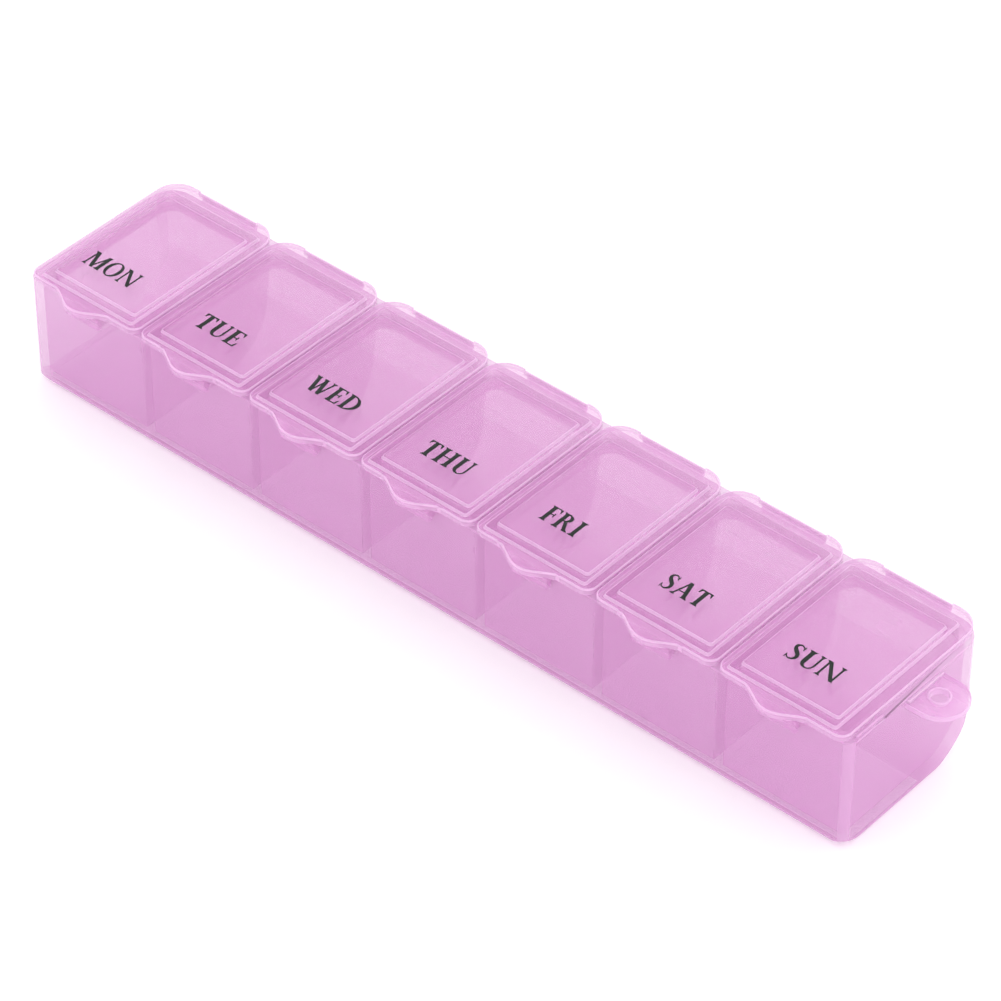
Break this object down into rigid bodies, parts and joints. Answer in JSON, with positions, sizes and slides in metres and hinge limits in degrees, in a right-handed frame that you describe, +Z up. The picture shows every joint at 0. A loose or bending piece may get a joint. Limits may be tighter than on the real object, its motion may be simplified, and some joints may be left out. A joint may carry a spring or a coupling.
{
  "type": "travel pill organizer",
  "caption": "Long translucent pill case with a row of separate snap lids on living hinges, scooped compartments and a hang lug at one end.",
  "frame": {"origin": "middle of the case's underside", "axes": "+X along the row of lids towards the hang lug, -Y towards the thumb tabs, +Y towards the hinges, +Z up"},
  "size_m": [0.1587, 0.0334, 0.0215],
  "materials": {
    "case_plastic": "translucent moulded polypropylene, satin gloss",
    "lid_plastic": "translucent moulded polypropylene, satin gloss",
    "hinge_plastic": "the same plastic as a thin film, whitened where it bends"
  },
  "bodies": {
    "case": {"case": "case_plastic", "living_hinge_mon": "hinge_plastic", "living_hinge_tue": "hinge_plastic", "living_hinge_wed": "hinge_plastic", "living_hinge_thu": "hinge_plastic", "living_hinge_fri": "hinge_plastic", "living_hinge_sat": "hinge_plastic", "living_hinge_sun": "hinge_plastic"},
    "lid_mon": {"lid_mon": "lid_plastic"},
    "lid_tue": {"lid_tue": "lid_plastic"},
    "lid_wed": {"lid_wed": "lid_plastic"},
    "lid_thu": {"lid_thu": "lid_plastic"},
    "lid_fri": {"lid_fri": "lid_plastic"},
    "lid_sat": {"lid_sat": "lid_plastic"},
    "lid_sun": {"lid_sun": "lid_plastic"}
  },
  "joints": [
    {"name": "mon_lid_hinge", "type": "hinge", "parent": "case", "child": "lid_mon", "pos_m": [-0.0642, 0.0154, 0.0193], "axis": [-1, 0, 0], "range_deg": [0, 180]},
    {"name": "tue_lid_hinge", "type": "hinge", "parent": "case", "child": "lid_tue", "pos_m": [-0.0428, 0.0154, 0.0193], "axis": [-1, 0, 0], "range_deg": [0, 180]},
    {"name": "wed_lid_hinge", "type": "hinge", "parent": "case", "child": "lid_wed", "pos_m": [-0.0214, 0.0154, 0.0193], "axis": [-1, 0, 0], "range_deg": [0, 180]},
    {"name": "thu_lid_hinge", "type": "hinge", "parent": "case", "child": "lid_thu", "pos_m": [0, 0.0154, 0.0193], "axis": [-1, 0, 0], "range_deg": [0, 180]},
    {"name": "fri_lid_hinge", "type": "hinge", "parent": "case", "child": "lid_fri", "pos_m": [0.0214, 0.0154, 0.0193], "axis": [-1, 0, 0], "range_deg": [0, 180]},
    {"name": "sat_lid_hinge", "type": "hinge", "parent": "case", "child": "lid_sat", "pos_m": [0.0428, 0.0154, 0.0193], "axis": [-1, 0, 0], "range_deg": [0, 180]},
    {"name": "sun_lid_hinge", "type": "hinge", "parent": "case", "child": "lid_sun", "pos_m": [0.0642, 0.0154, 0.0193], "axis": [-1, 0, 0], "range_deg": [0, 180]}
  ]
}
